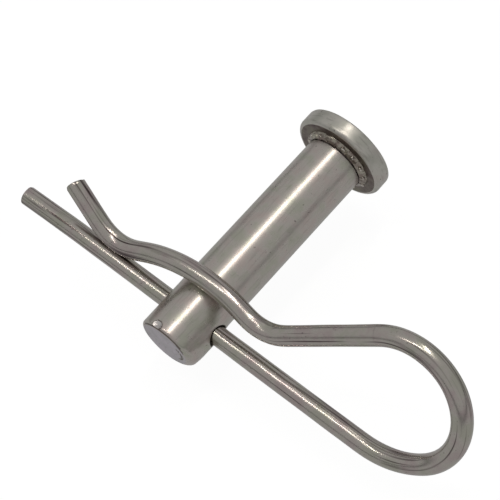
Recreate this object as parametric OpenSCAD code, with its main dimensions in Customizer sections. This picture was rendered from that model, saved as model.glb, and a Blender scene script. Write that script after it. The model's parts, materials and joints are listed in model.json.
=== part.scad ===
// Hitch pin lock: a headed clevis pin, cross-drilled near its nose, held by a spring clip bent from one round wire.
// Millimetres. The origin is the centre of the head's underside, +Z is up, and the assembly lies on the floor on
// the head's rim, the nose's rim and the clip's loop. The pin runs along +X with its nose dipping towards the floor.
// The clip's straight leg runs along Y through the cross hole, with its tip at -Y and its loop at +Y.

/* [Pin] */
// Radius of the shank
shank_r = 5; // [4.8:0.05:5.2]
// Length of the shank from the head's underside to the nose face
shank_len = 41.25; // [40:0.05:60]
// Distance from the head's underside at which the parallel grip length ends and the drilled end begins
grip_end = 28.8; // [20:0.1:30]
// How much smaller in radius the drilled end is at the nose than the grip length
nose_relief = 0.04; // [0.02:0.01:0.2]
// Length of the broken edge round the nose face
nose_edge = 0.55; // [0.2:0.05:1.2]
// Radius of the flat nose face
nose_face_r = 4.4; // [3.8:0.05:4.6]

/* [Head] */
// Radius of the disc head
head_r = 8.15; // [7.5:0.05:10]
// Thickness of the disc head
head_thick = 2.9; // [2:0.05:4]
// Rounding of the rim on the shank side
rim_under_r = 0.7; // [0.3:0.05:1]
// Rounding of the rim on the outer side
rim_top_r = 0.3; // [0.1:0.05:0.8]

/* [Weld] */
// Reach of the weld bead along the shank
weld_leg = 1; // [0.6:0.05:1.5]
// Radius of the weld bead's toe on the head
weld_toe_r = 6.3; // [6:0.05:6.6]
// Depth of the shank's bevelled end under the bead
weld_depth = 0.6; // [0.3:0.05:1.5]
// Depth to which the weld has sunk into the head's underside
weld_sink = 0.2; // [0.1:0.05:0.6]
// Radius of the bead's rounded crown
weld_crown_r = 1.3; // [1.1:0.05:2.5]

/* [Cross hole] */
// Distance of the cross hole from the head's underside
hole_x = 35.15; // [34:0.05:37]
// Radius of the cross hole
hole_r = 1.8; // [1.75:0.05:2.3]

/* [Clip wire] */
// Radius of the clip's wire
wire_r = 1.6; // [1.4:0.05:1.7]
// Length of the chamfer on the wire's cut ends
wire_edge = 0.3; // [0.1:0.05:0.6]
// Lean of the clip's plane from square to the pin, towards the head
clip_lean = 31; // [20:0.5:35]
// Length of the straight leg from the pin's axis to its tip
leg_tip = 35.7; // [20:0.1:40]
// Gap between the wire and the shank where the grip leg saddles it
shank_gap = 0.15; // [0.1:0.01:0.4]
// Gap between the two legs where they come closest
leg_gap = 0.15; // [0.1:0.01:0.6]

/* [Clip bends] */
// Radius of the loop's first, widest bend
lead_r = 14.5; // [12:0.1:18]
// Turn of the loop's first bend
lead_turn = 42.7; // [35:0.1:50]
// Radius of the loop's main bend
loop_r = 9.65; // [8.5:0.05:12]
// Turn of the loop's main bend
loop_turn = 107.2; // [95:0.1:115]
// Radius of the loop's last bend, into the grip leg
exit_r = 10.5; // [9:0.1:14]
// Turn of the loop's last bend
exit_turn = 67.8; // [60:0.1:75]
// Radius of the throat bend
throat_r = 8; // [5:0.1:11]
// Radius of the saddle that crosses over the shank
saddle_r = 26.6; // [22:0.1:32]
// Slope of the saddle on the loop side
saddle_up = 17.2; // [12:0.1:20]
// Slope of the saddle on the tip side
saddle_down = 26.7; // [24:0.1:28]
// Distance along the leg from the pin's axis to the top of the saddle
saddle_y = 0.75; // [-1:0.05:2]
// Radius of the dip where the grip leg comes down to the straight leg
dip_r = 8.2; // [6:0.1:9]
// Slope of the flared tip
flare_slope = 29.4; // [20:0.1:40]
// Length of the flared tip's straight end
flare_len = 7.25; // [4:0.05:10]

/* [Lying pose] */
// Roll about the pin's axis at which the loop meets the floor
lie_roll = 6.46; // [5.5:0.01:7.5]

/* [Hidden] */
$fn = 96;
steel = [0.56, 0.54, 0.52];
head_steel = [0.6, 0.59, 0.57];
weld_steel = [0.4, 0.37, 0.35];
wire_steel = [0.5, 0.48, 0.47];

// Gap between the faces of the wire where it is parted inside the cross hole
part_gap = 0.05;
// Ball that ends the loop, the socket in the grip leg that turns on it, and the slot that lets the leg swing
ball_r = 0.75 * wire_r;
socket_r = ball_r + 0.06;
swing_slot = 0.45;

// Width of the hairline between two bends of the wire, and how far the core that joins them reaches each way
hairline = 0.02;
core_reach = 0.6;

// Tilt of the pin that puts the rims of its head and nose on one floor
rim_drop = head_r - rim_under_r - (shank_r - nose_relief);
rim_span = shank_len - nose_edge + rim_under_r;
lie_tilt = atan2(rim_drop, rim_span) + asin(rim_under_r / norm([rim_drop, rim_span]));

// Centre of the circle that rounds the bead, found from its two toes
toe_a = [weld_toe_r, 0];
toe_b = [shank_r, weld_leg];
chord = toe_b - toe_a;
sag = sqrt(pow(weld_crown_r, 2) - pow(norm(chord) / 2, 2));
bead_centre = (toe_a + toe_b) / 2 + sag * [-chord[1], chord[0]] / norm(chord);

// A pose along the wire is [distance along the straight leg, height above it, heading].
// A segment is [length, 0] where straight, or [radius, turn] where bent.
function along(p, s) = s[1] == 0 ? ahead(p, s[0]) : round_bend(p, s[0], s[1]);
function ahead(p, d) = [p[0] + d * cos(p[2]), p[1] + d * sin(p[2]), p[2]];
function bend_centre(p, r, turn) = [p[0] - sign(turn) * r * sin(p[2]), p[1] + sign(turn) * r * cos(p[2])];
function round_bend(p, r, turn) =
    let (c = bend_centre(p, r, turn), a = p[2] + turn)
    [c[0] + sign(turn) * r * sin(a), c[1] - sign(turn) * r * cos(a), a];
function pose_after(p, segs, n) = n == 0 ? p : along(pose_after(p, segs, n - 1), segs[n - 1]);

// A segment, or a short stretch of it, whose length along the wire is d
function stretch(s, d) = s[1] == 0 ? [d, 0] : [s[0], sign(s[1]) * d / s[0] * 180 / PI];
function shortened(s, d) = s[1] == 0 ? [s[0] - d, 0] : [s[0], s[1] - sign(s[1]) * d / s[0] * 180 / PI];

// The loop's height and reach fix how long the runs before and after the saddle have to be
loop_end = pose_after([0, 0, 0], [[lead_r, lead_turn], [loop_r, loop_turn], [exit_r, exit_turn]], 3);
throat_turn = loop_end[2] - (180 - saddle_up);
saddle_top = pose_after([0, 0, loop_end[2]], [[throat_r, -throat_turn], [saddle_r, saddle_up]], 2);
saddle_h = (shank_r + wire_r + shank_gap) / cos(clip_lean);
grip_run = (loop_end[1] + saddle_top[1] - saddle_h) / sin(loop_end[2] - 180);
leg_run = saddle_y - loop_end[0] - saddle_top[0] - grip_run * cos(loop_end[2]);
dip_drop = (saddle_r + dip_r) * (1 - cos(saddle_down));
dip_run = (saddle_h - dip_drop - 2 * wire_r - leg_gap) / sin(saddle_down);

// The loop's main bend is parted at its far side, where the spring's flexing is gathered into one hinge
near_turn = 90 - lead_turn;
loop_segments = [[leg_run - part_gap / 2, 0], [lead_r, lead_turn], [loop_r, near_turn]];
slot_turn = swing_slot / loop_r * 180 / PI;
grip_segments = [
    [loop_r, loop_turn - near_turn - slot_turn],
    [exit_r, exit_turn],
    [grip_run, 0],
    [throat_r, -throat_turn],
    [saddle_r, saddle_up + saddle_down],
    [dip_run, 0],
    [dip_r, -(saddle_down + flare_slope)],
    [flare_len, 0]
];
loop_start = [part_gap / 2, 0, 0];
hinge_pose = pose_after(loop_start, loop_segments, len(loop_segments));
grip_start = round_bend(hinge_pose, loop_r, slot_turn);

// Lays a shape that is built about the pin's own axes down on the floor
module lie() {
    rotate([-lie_roll, lie_tilt, 0])
        children();
}

// Puts a shape that is built up along Z on the pin's axis
module on_pin_axis() {
    lie()
        rotate([0, 90, 0])
            children();
}

// Puts a shape that is drawn in the XY plane in the clip's leaning plane
module in_clip_plane() {
    lie()
        translate([hole_x, 0, 0])
            rotate([0, -clip_lean, 0])
                rotate([90, 0, 90])
                    children();
}

// Puts a shape that is built up along Z on the wire at pose p, pointing along it
module at_pose(p) {
    translate([p[0], p[1], 0])
        rotate([0, 0, p[2]])
            rotate([0, 90, 0])
                children();
}

// One straight length of wire from pose p, its far end square-cut and chamfered by edge
module straight_wire(p, d, edge = 0) {
    at_pose(p)
        rotate_extrude()
            polygon([[0, 0], [wire_r, 0], [wire_r, d - edge], [wire_r - edge, d], [0, d]]);
}

// One bent length of wire from pose p
module bent_wire(p, r, turn) {
    c = bend_centre(p, r, turn);
    start = turn > 0 ? p[2] - 90 : p[2] + 90 + turn;
    translate([c[0], c[1], 0])
        rotate([0, 0, start])
            rotate_extrude(angle = abs(turn))
                translate([r, 0])
                    circle(r = wire_r);
}

// The run of wire that follows the segments from pose p, its last one cut off with a chamfer of edge.
// A hairline parts each bend from the next, and a core inside the wire joins them.
module wire(p, segs, edge = 0) {
    for (i = [0:len(segs) - 1]) {
        q = pose_after(p, segs, i);
        start = i == 0 ? q : along(q, stretch(segs[i], hairline));
        run = i == 0 ? segs[i] : shortened(segs[i], hairline);
        if (run[1] == 0)
            straight_wire(start, run[0], i == len(segs) - 1 ? edge : 0);
        else
            bent_wire(start, run[0], run[1]);
        if (i > 0)
            at_pose(q)
                cylinder(h = 2 * core_reach, r = wire_r / 2, center = true);
    }
}

// The round rod, with its bevelled weld end, cross hole and broken nose edge
module pin_shank() {
    nose_r = shank_r - nose_relief;
    color(steel)
        on_pin_axis()
            difference() {
                rotate_extrude()
                    polygon([
                        [0, -weld_sink],
                        [shank_r - weld_depth, -weld_sink],
                        [shank_r - weld_depth, 0],
                        [shank_r, weld_leg],
                        [shank_r, grip_end],
                        [nose_r, shank_len - nose_edge],
                        [nose_face_r, shank_len],
                        [0, shank_len]
                    ]);
                translate([0, 0, hole_x])
                    rotate([90, 0, 0])
                        cylinder(h = 3 * shank_r, r = hole_r, center = true);
            }
}

// The disc head, rounded round both edges of its rim, with the pocket that the weld has sunk into
module pin_head() {
    color(head_steel)
        on_pin_axis()
            translate([0, 0, -head_thick])
                difference() {
                    rotate_extrude() {
                        square([head_r - rim_under_r, head_thick]);
                        square([head_r - rim_top_r, head_thick - rim_under_r]);
                        translate([0, rim_top_r])
                            square([head_r, head_thick - rim_top_r - rim_under_r]);
                        translate([head_r - rim_under_r, head_thick - rim_under_r])
                            circle(r = rim_under_r);
                        translate([head_r - rim_top_r, rim_top_r])
                            circle(r = rim_top_r);
                    }
                    translate([0, 0, head_thick - weld_sink])
                        cylinder(h = 2 * weld_sink, r = weld_toe_r + part_gap / 2);
                }
}

// The fillet weld that joins the shank to the head
module head_weld() {
    color(weld_steel)
        on_pin_axis()
            rotate_extrude() {
                translate([shank_r - weld_depth, -weld_sink])
                    square([weld_toe_r - shank_r + weld_depth, weld_sink]);
                intersection() {
                    translate(bead_centre)
                        circle(r = weld_crown_r);
                    polygon([
                        [shank_r - weld_depth, 0],
                        [weld_toe_r + 1, 0],
                        [weld_toe_r + 1, 2 * weld_leg],
                        [shank_r, 2 * weld_leg],
                        [shank_r, weld_leg]
                    ]);
                }
            }
}

// The tip side of the straight leg, which slides in the cross hole
module clip_straight_leg() {
    color(wire_steel)
        in_clip_plane()
            straight_wire([-part_gap / 2, 0, 180], leg_tip - part_gap / 2, wire_edge);
}

// The rest of the straight leg and the near half of the loop, ending in the flexing point's ball
module clip_loop() {
    color(wire_steel)
        in_clip_plane() {
            wire(loop_start, loop_segments);
            translate([hinge_pose[0], hinge_pose[1], 0])
                sphere(r = ball_r);
        }
}

// The far half of the loop and the grip leg, with its throat, saddle, dip and flared tip
module clip_grip_leg() {
    color(wire_steel)
        in_clip_plane()
            difference() {
                wire(grip_start, grip_segments, wire_edge);
                translate([hinge_pose[0], hinge_pose[1], 0])
                    sphere(r = socket_r);
            }
}

pin_shank();
pin_head();
head_weld();
clip_straight_leg();
clip_loop();
clip_grip_leg();
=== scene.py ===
"""Looks of a hitch pin lock: a headed pin, cross-drilled near its nose, held by a spring clip of bent wire.

Sizes in the dataclasses are millimetres. Meshes are written in metres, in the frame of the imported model.
"""

import json
import logging
import math
from dataclasses import dataclass, replace
from enum import Enum
from typing import Any, Callable, Mapping, Sequence

import bmesh
import bpy
import numpy as np
from mathutils import Matrix, Vector, noise


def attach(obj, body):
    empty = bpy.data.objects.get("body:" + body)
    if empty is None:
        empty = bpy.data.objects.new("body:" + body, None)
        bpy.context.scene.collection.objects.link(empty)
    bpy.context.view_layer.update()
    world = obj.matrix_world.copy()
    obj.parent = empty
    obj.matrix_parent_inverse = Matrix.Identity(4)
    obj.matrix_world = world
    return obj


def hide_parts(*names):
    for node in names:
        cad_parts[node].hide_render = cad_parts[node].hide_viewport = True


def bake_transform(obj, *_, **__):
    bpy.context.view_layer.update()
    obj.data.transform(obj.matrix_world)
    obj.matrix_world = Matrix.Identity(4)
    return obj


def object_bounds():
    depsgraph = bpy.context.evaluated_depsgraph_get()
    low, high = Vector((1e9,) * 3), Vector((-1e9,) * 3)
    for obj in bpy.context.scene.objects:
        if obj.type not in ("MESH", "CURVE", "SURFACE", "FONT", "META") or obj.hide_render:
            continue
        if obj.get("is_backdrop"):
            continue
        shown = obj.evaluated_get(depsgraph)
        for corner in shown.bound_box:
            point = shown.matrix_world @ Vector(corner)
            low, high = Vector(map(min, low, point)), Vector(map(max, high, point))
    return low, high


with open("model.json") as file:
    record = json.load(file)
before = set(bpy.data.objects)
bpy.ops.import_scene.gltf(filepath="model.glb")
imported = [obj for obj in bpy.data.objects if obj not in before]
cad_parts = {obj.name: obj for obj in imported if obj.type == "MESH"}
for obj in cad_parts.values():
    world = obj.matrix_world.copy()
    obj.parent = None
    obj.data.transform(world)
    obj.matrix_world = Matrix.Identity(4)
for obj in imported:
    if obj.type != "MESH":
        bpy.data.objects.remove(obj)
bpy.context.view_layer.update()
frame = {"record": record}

LOG = logging.getLogger("hitch_pin_lock")
MM = 0.001
EVENLY = (1.0, 1.0, 1.0)
# The Mix node's colour sockets, which share their names with its other kinds.
COLOUR_A, COLOUR_B, COLOUR_OUT = 6, 7, 2


class Body(Enum):
    """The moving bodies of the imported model."""

    PIN = "pin"
    STRAIGHT_LEG = "straight_leg"
    LOOP = "loop"
    GRIP_LEG = "grip_leg"


class CadNode(Enum):
    """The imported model's nodes that the pieces stand for."""

    SHANK = "pin_shank"
    HEAD = "pin_head"
    WELD = "head_weld"
    STRAIGHT_LEG = "clip_straight_leg"
    LOOP = "clip_loop"
    GRIP_LEG = "clip_grip_leg"


class Slot(Enum):
    """The record's finishes."""

    SHANK = "shank_steel"
    HEAD = "head_steel"
    WELD = "weld_bead"
    WIRE = "spring_wire"


def linear(hex_colour: str, alpha: float = 1.0) -> tuple[float, float, float, float]:
    """Turns an sRGB hex colour into the linear values that a node takes.

    Args:
        hex_colour: Six hex digits, with or without a leading hash.
        alpha: The fourth channel.

    Returns:
        Red, green, blue and alpha.
    """
    digits = hex_colour.lstrip("#")
    channels = [int(digits[i : i + 2], 16) / 255 for i in (0, 2, 4)]
    red, green, blue = (c / 12.92 if c <= 0.04045 else ((c + 0.055) / 1.055) ** 2.4 for c in channels)
    return (red, green, blue, alpha)


def unit(vector: Sequence[float]) -> np.ndarray:
    """Returns the vector at length one."""
    v = np.asarray(vector, float)
    return v / np.linalg.norm(v)


def add_node(
    tree: bpy.types.NodeTree,
    kind: str,
    settings: Mapping[str, Any] | None = None,
    inputs: Mapping[str | int, Any] | None = None,
) -> bpy.types.Node:
    """Adds one node with its settings and its inputs.

    Args:
        tree: The tree that the node goes into.
        kind: The node's type name.
        settings: The node's own properties.
        inputs: For each input's name or index, a value, or the output socket that feeds it.

    Returns:
        The new node.
    """
    made = tree.nodes.new(kind)
    for name, value in (settings or {}).items():
        setattr(made, name, value)
    for key, value in (inputs or {}).items():
        socket = made.inputs[key]
        if isinstance(value, bpy.types.NodeSocket):
            tree.links.new(value, socket)
        else:
            socket.default_value = value
    return made


def set_ramp(ramp_node: bpy.types.Node, stops: Sequence[tuple[float, Sequence[float]]]) -> None:
    """Gives a colour ramp its stops.

    Args:
        ramp_node: The ramp's node.
        stops: Each stop's place and colour, in rising order.
    """
    elements = ramp_node.color_ramp.elements
    while len(elements) < len(stops):
        elements.new(1.0)
    for element, (place, colour) in zip(elements, stops):
        element.position = place
        element.color = colour


def grey(value: float) -> tuple[float, float, float, float]:
    """Returns a neutral linear colour."""
    return (value, value, value, 1.0)


@dataclass(frozen=True)
class PinSpace:
    """The pin's own axes in the row frame: x from the head to the nose, y along the clip's straight leg, z up."""

    origin: np.ndarray
    axes: np.ndarray
    hole_x: float
    clip_origin: np.ndarray
    clip_axes: np.ndarray

    @classmethod
    def from_record(cls, record: Mapping[str, Any]) -> "PinSpace":
        """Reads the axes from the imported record's mounts and joints.

        Args:
            record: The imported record.

        Returns:
            The pin's and the clip's axes, as columns, in the row frame.
        """
        seat = next(m for m in record["mounts"] if m["name"] == "head_seat")
        joints = {j["name"]: j for j in record["behaviour"]["joints"]}
        along = unit(seat["axis"])
        leg = np.asarray(joints["clip_slide"]["axis"], float)
        leg = unit(leg - along * (leg @ along))
        up = np.cross(along, leg)
        origin = np.asarray(seat["pos_m"], float)
        hole = np.asarray(joints["clip_swing"]["pos_m"], float)
        normal = -np.asarray(joints["leg_spread"]["axis"], float)
        normal = unit(normal - leg * (normal @ leg))
        clip_up = np.cross(normal, leg)
        return cls(
            origin=origin,
            axes=np.column_stack([along, leg, up]),
            hole_x=float((hole - origin) @ along) / MM,
            clip_origin=hole,
            clip_axes=np.column_stack([leg, clip_up, normal]),
        )

    def point(self, x: float, y: float, z: float) -> Vector:
        """Returns a pin-space point, in millimetres, as a row-frame point in metres."""
        return Vector(self.origin + self.axes @ (np.array([x, y, z]) * MM))

    def direction(self, x: float, y: float, z: float) -> Vector:
        """Returns a pin-space direction as a row-frame direction."""
        return Vector(self.axes @ unit([x, y, z]))

    def clip_point(self, y: float, h: float, n: float = 0.0) -> Vector:
        """Returns a point of the clip's own plane, in millimetres, as a row-frame point in metres."""
        return Vector(self.clip_origin + self.clip_axes @ (np.array([y, h, n]) * MM))

    def place_pin_mesh(self, mesh: bpy.types.Mesh) -> None:
        """Moves a mesh from pin space to the row frame, and keeps its own coordinates beside it.

        Args:
            mesh: The mesh to move.
        """
        self._place(mesh, "pin_space", self.axes, self.origin)

    def place_clip_mesh(self, mesh: bpy.types.Mesh) -> None:
        """Moves a mesh made in the clip's plane, in millimetres, to the row frame.

        Args:
            mesh: The mesh to move.
        """
        self._place(mesh, None, self.clip_axes, self.clip_origin)

    @staticmethod
    def _place(mesh: bpy.types.Mesh, attribute: str | None, axes: np.ndarray, origin: np.ndarray) -> None:
        """Moves a mesh in millimetres by the given axes and origin.

        Args:
            mesh: The mesh to move.
            attribute: The name under which the mesh keeps where each point was, or None.
            axes: The axes as columns.
            origin: The origin in metres.
        """
        points = vertex_array(mesh)
        if attribute:
            kept = mesh.attributes.new(attribute, "FLOAT_VECTOR", "POINT")
            kept.data.foreach_set("vector", points.astype(np.float32).ravel())
        set_vertices(mesh, origin + (points * MM) @ axes.T)


def vertex_array(mesh: bpy.types.Mesh) -> np.ndarray:
    """Returns a mesh's points as an array of rows."""
    flat = np.empty(len(mesh.vertices) * 3, np.float32)
    mesh.vertices.foreach_get("co", flat)
    return flat.reshape(-1, 3).astype(float)


def set_vertices(mesh: bpy.types.Mesh, points: np.ndarray) -> None:
    """Writes a mesh's points from an array of rows."""
    mesh.vertices.foreach_set("co", points.astype(np.float32).ravel())
    mesh.update()


def as_object(name: str, mesh: bpy.types.Mesh) -> bpy.types.Object:
    """Puts a mesh into the scene as an object at the origin."""
    made = bpy.data.objects.new(name, mesh)
    bpy.context.scene.collection.objects.link(made)
    return made


def outward(mesh: bpy.types.Mesh, weld: bool = True) -> None:
    """Turns a mesh's faces outwards, and welds its double points first where asked."""
    work = bmesh.new()
    work.from_mesh(mesh)
    if weld:
        bmesh.ops.remove_doubles(work, verts=work.verts, dist=1e-5)
    bmesh.ops.recalc_face_normals(work, faces=work.faces)
    work.to_mesh(mesh)
    work.free()


def shade(mesh: bpy.types.Mesh, crease_degrees: float) -> None:
    """Shades a mesh smooth, with sharp edges where its faces turn by more than the given angle."""
    mesh.shade_smooth()
    mesh.set_sharp_from_angle(angle=math.radians(crease_degrees))


def lathe(name: str, profile: Sequence[tuple[float, float]], sides: int, step: float) -> bpy.types.Mesh:
    """Turns a profile round the X axis into a closed mesh.

    Args:
        name: The mesh's name.
        profile: Points of distance along the axis and radius, from one pole to the other.
        sides: How many faces go round.
        step: The longest stretch between two rings.

    Returns:
        A mesh in the profile's own units.
    """
    rings: list[tuple[float, float]] = []
    for (x0, r0), (x1, r1) in zip(profile, profile[1:]):
        parts = max(1, math.ceil(math.hypot(x1 - x0, r1 - r0) / step))
        rings += [(x0 + (x1 - x0) * i / parts, r0 + (r1 - r0) * i / parts) for i in range(parts)]
    rings.append(profile[-1])
    body = [ring for ring in rings if ring[1] > 1e-6]
    turn = np.linspace(0, 2 * math.pi, sides, endpoint=False)
    points = [(x, r * math.cos(t), r * math.sin(t)) for x, r in body for t in turn]
    faces: list[tuple[int, ...]] = []
    for i in range(len(body) - 1):
        a, b = i * sides, (i + 1) * sides
        faces += [(a + j, a + (j + 1) % sides, b + (j + 1) % sides, b + j) for j in range(sides)]
    first, last = len(points), len(points) + 1
    points += [(profile[0][0], 0.0, 0.0), (profile[-1][0], 0.0, 0.0)]
    end = (len(body) - 1) * sides
    for j in range(sides):
        faces.append((first, (j + 1) % sides, j))
        faces.append((last, end + j, end + (j + 1) % sides))
    mesh = bpy.data.meshes.new(name)
    mesh.from_pydata(points, [], faces)
    outward(mesh)
    return mesh


def ripple(point: Sequence[float], size: float, depth: float) -> float:
    """Returns a smooth, repeatable unevenness.

    Args:
        point: Where it is wanted, in millimetres.
        size: The width of its swells, in millimetres.
        depth: Its height, in millimetres.

    Returns:
        The height at that point.
    """
    return depth * noise.noise(Vector(point) / size)


@dataclass(frozen=True)
class Metal:
    """What every steel finish here shares: a principled metal whose colour, roughness and bump come from noise."""

    name: str
    body_colour: str
    warm_colour: str
    cool_colour: str
    dark_colour: str
    roughness: float
    roughness_spread: float = 0.05
    attribute: str = "pin_space"
    patch_mm: float = 3.0
    line_stretch: tuple[float, float, float] = EVENLY
    line_mm: float = 0.5
    line_depth_mm: float = 0.004
    line_show: float = 0.3
    line_from: float = 0.56
    line_to: float = 0.7
    lump_mm: float = 0.7
    lump_depth_mm: float = 0.01
    speck_mm: float = 0.5
    speck_share: float = 0.0
    speck_from: float = 0.72
    speck_to: float = 0.8
    speck_show: float = 0.7
    tint_stops: tuple[float, float, float] = (0.36, 0.5, 0.64)
    cloud_share: float = 0.6

    def scaled(self, tree: bpy.types.NodeTree, stretch: Sequence[float], size_mm: float) -> bpy.types.NodeSocket:
        """Stretches the piece's own millimetre coordinates so that one unit is one feature.

        Args:
            tree: The material's tree.
            stretch: How much each axis is squeezed or drawn out.
            size_mm: The size of one feature.

        Returns:
            The coordinates' socket.
        """
        own = add_node(tree, "ShaderNodeAttribute", {"attribute_name": self.attribute})
        mapping = add_node(
            tree,
            "ShaderNodeMapping",
            inputs={"Vector": own.outputs["Vector"], "Scale": tuple(s / size_mm for s in stretch)},
        )
        return mapping.outputs["Vector"]

    def noise(
        self,
        tree: bpy.types.NodeTree,
        stretch: Sequence[float],
        size_mm: float,
        detail: float = 2.0,
        rough: float = 0.5,
    ) -> bpy.types.NodeSocket:
        """Adds a noise pattern whose features have a size in millimetres.

        Args:
            tree: The material's tree.
            stretch: How much each axis is squeezed or drawn out.
            size_mm: The size of one feature.
            detail: How many finer layers it has.
            rough: How strong the finer layers are.

        Returns:
            The pattern's value socket.
        """
        made = add_node(
            tree,
            "ShaderNodeTexNoise",
            inputs={
                "Vector": self.scaled(tree, stretch, size_mm),
                "Scale": 1.0,
                "Detail": detail,
                "Roughness": rough,
            },
        )
        return made.outputs["Fac"]

    @staticmethod
    def ranged(
        tree: bpy.types.NodeTree,
        value: bpy.types.NodeSocket,
        from_low: float,
        from_high: float,
        to_low: float,
        to_high: float,
    ) -> bpy.types.NodeSocket:
        """Maps a pattern from one range of values to another.

        Args:
            tree: The material's tree.
            value: The pattern.
            from_low: Where the pattern's range starts.
            from_high: Where it ends.
            to_low: What its start becomes.
            to_high: What its end becomes.

        Returns:
            The mapped value's socket.
        """
        made = add_node(
            tree,
            "ShaderNodeMapRange",
            inputs={
                "Value": value,
                "From Min": from_low,
                "From Max": from_high,
                "To Min": to_low,
                "To Max": to_high,
            },
        )
        return made.outputs["Result"]

    def darkened(
        self,
        tree: bpy.types.NodeTree,
        colour: bpy.types.NodeSocket,
        pattern: bpy.types.NodeSocket,
        low: float,
        high: float,
        show: float,
    ) -> bpy.types.NodeSocket:
        """Mixes the dark colour in where a pattern is high.

        Args:
            tree: The material's tree.
            colour: The colour so far.
            pattern: The pattern.
            low: Where the dark starts.
            high: Where it is at its strongest.
            show: How strong it is there.

        Returns:
            The new colour's socket.
        """
        share = self.ranged(tree, pattern, low, high, 0.0, show)
        inputs = {"Factor": share, COLOUR_A: colour, COLOUR_B: linear(self.dark_colour)}
        return add_node(tree, "ShaderNodeMix", {"data_type": "RGBA"}, inputs).outputs[COLOUR_OUT]

    def build(self) -> bpy.types.Material:
        """Makes the material.

        Returns:
            The material.
        """
        material = bpy.data.materials.new(self.name)
        material.use_nodes = True
        tree = material.node_tree
        tree.nodes.clear()
        patches = self.noise(tree, EVENLY, self.patch_mm, 3.0, 0.55)
        tint = add_node(tree, "ShaderNodeValToRGB", inputs={"Fac": patches})
        colours = (self.warm_colour, self.body_colour, self.cool_colour)
        set_ramp(tint, [(place, linear(colour)) for place, colour in zip(self.tint_stops, colours)])
        # Dark lengthwise lines: drawing lines on the bar steels, and painted reflections of the nearby dark parts
        # on the wire.
        lines = self.noise(tree, self.line_stretch, self.line_mm, 2.0, 0.5)
        drawn = self.darkened(tree, tint.outputs["Color"], lines, self.line_from, self.line_to, self.line_show)
        specks = self.noise(tree, EVENLY, self.speck_mm, 1.0, 0.5)
        low, high = self.speck_from - self.speck_share, self.speck_to - self.speck_share
        specked = self.darkened(tree, drawn, specks, low, high, self.speck_show)
        cloud = self.noise(tree, EVENLY, self.patch_mm * self.cloud_share, 4.0, 0.6)
        spread = self.roughness_spread
        gloss = self.ranged(tree, cloud, 0.3, 0.7, self.roughness - spread, self.roughness + spread)
        fine = add_node(
            tree,
            "ShaderNodeBump",
            inputs={"Strength": 1.0, "Distance": self.line_depth_mm * MM, "Height": lines},
        )
        lumps = self.noise(tree, EVENLY, self.lump_mm, 1.0, 0.4)
        bump = add_node(
            tree,
            "ShaderNodeBump",
            inputs={
                "Strength": 1.0,
                "Distance": self.lump_depth_mm * MM,
                "Height": lumps,
                "Normal": fine.outputs["Normal"],
            },
        )
        shader = add_node(
            tree,
            "ShaderNodeBsdfPrincipled",
            inputs={
                "Base Color": specked,
                "Metallic": 1.0,
                "Roughness": gloss,
                "Normal": bump.outputs["Normal"],
            },
        )
        add_node(tree, "ShaderNodeOutputMaterial", inputs={"Surface": shader.outputs["BSDF"]})
        return material


def paint(mesh: bpy.types.Mesh, finishes: Sequence[Metal], choose: Callable[[np.ndarray], int]) -> None:
    """Gives a mesh its finishes, and each face the one chosen for its middle.

    Args:
        mesh: The mesh, in pin space.
        finishes: The finishes.
        choose: Returns a finish's index for a point.
    """
    points = vertex_array(mesh)
    mesh.materials.clear()
    for finish in finishes:
        mesh.materials.append(finish.build())
    for polygon in mesh.polygons:
        polygon.material_index = choose(points[list(polygon.vertices)].mean(axis=0))


# Drawn and tumbled carbon steel bar: satin grey, with faint warm and olive patches and lengthwise lines.
SATIN_SHANK = Metal(
    name="tumbled_bar_steel",
    body_colour="#c3bdb6",
    warm_colour="#c4b9b3",
    cool_colour="#bab9ac",
    dark_colour="#5f5854",
    roughness=0.29,
    roughness_spread=0.035,
    patch_mm=2.6,
    line_stretch=(0.08, 1.0, 1.0),
    line_mm=0.3,
    line_depth_mm=0.002,
    line_show=0.16,
    lump_mm=0.6,
    lump_depth_mm=0.0022,
)

# Cropped and tumbled face of the bar: smoother, with a faint violet cast.
CROPPED_NOSE = Metal(
    name="cropped_bar_end",
    body_colour="#c3bdc2",
    warm_colour="#c9c1c8",
    cool_colour="#b9b6b8",
    dark_colour="#7a7478",
    roughness=0.36,
    roughness_spread=0.04,
    line_mm=0.6,
    line_depth_mm=0.002,
    lump_mm=1.2,
    speck_mm=0.6,
)

# Shadowed skin in the creases: the thin dark line round the nose's edge, the chip and the pressed mark.
NOSE_PAINTED_SHADE = replace(
    CROPPED_NOSE,
    name="nose_painted_shade_steel",
    body_colour="#776e6a",
    warm_colour="#706460",
    cool_colour="#7a746d",
)

# Painted highlight in the chip: brighter than the tumbled skin round it.
CHIP_PAINTED_HIGHLIGHT = replace(
    CROPPED_NOSE,
    name="chip_painted_highlight_steel",
    body_colour="#d6d2cf",
    warm_colour="#cfc9c6",
    cool_colour="#d2d1cc",
    roughness=0.3,
)

# Turned disc of the same steel: pale satin rim with fine lines round it.
TURNED_HEAD = Metal(
    name="turned_disc_steel",
    body_colour="#c6c3bb",
    warm_colour="#c4bdb6",
    cool_colour="#bcbbb1",
    dark_colour="#6a625c",
    roughness=0.37,
    patch_mm=3.5,
    line_stretch=(1.0, 0.12, 0.12),
    line_mm=0.3,
    lump_mm=0.9,
    lump_depth_mm=0.012,
    speck_share=0.01,
)

# The head's underside beside the weld: the same steel under a thin brown oxide from the weld's heat, with painted
# shade under the head darkening it further.
HEAT_TINT_AND_SHADE_DISC = Metal(
    name="heat_tint_and_painted_shade_disc_steel",
    body_colour="#70655d",
    warm_colour="#594944",
    cool_colour="#7d7767",
    dark_colour="#3a2e2b",
    roughness=0.32,
    roughness_spread=0.06,
    patch_mm=2.4,
    line_show=0.4,
    speck_share=0.02,
)

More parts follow.
